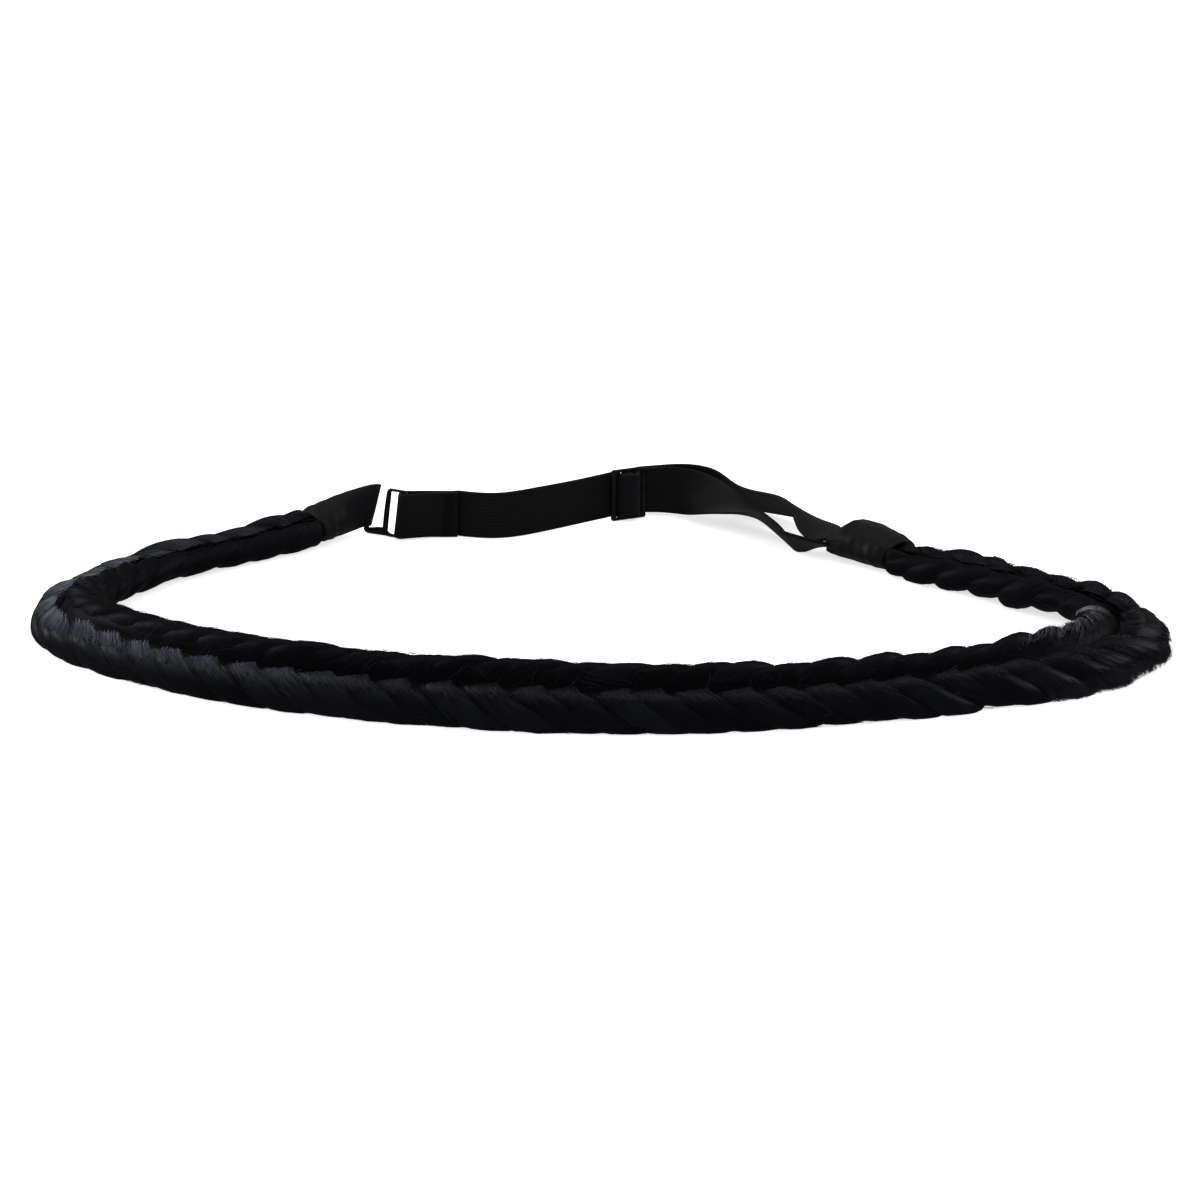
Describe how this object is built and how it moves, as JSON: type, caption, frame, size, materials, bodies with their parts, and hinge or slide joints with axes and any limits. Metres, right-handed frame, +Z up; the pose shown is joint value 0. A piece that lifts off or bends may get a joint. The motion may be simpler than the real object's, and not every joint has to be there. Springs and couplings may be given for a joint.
{
  "type": "braided headband",
  "caption": "Headband of fishtail-braided synthetic hair, lying as a loop, closed at the back by an adjustable elastic with a hook and slider.",
  "frame": {"origin": "middle of the loop's footprint, on the surface it lies on", "axes": "+Z up from the surface, +X across the loop's width, +Y from the braided front to the elastic at the back"},
  "size_m": [0.2174, 0.1414, 0.0112],
  "materials": {
    "hair": "satin",
    "sleeve": "satin",
    "elastic": "satin",
    "hardware": "satin"
  },
  "bodies": {
    "root": {"braid": "hair", "left_sleeve": "sleeve", "right_sleeve": "sleeve", "hook": "hardware", "slider": "hardware", "strap": "elastic"}
  },
  "joints": []
}
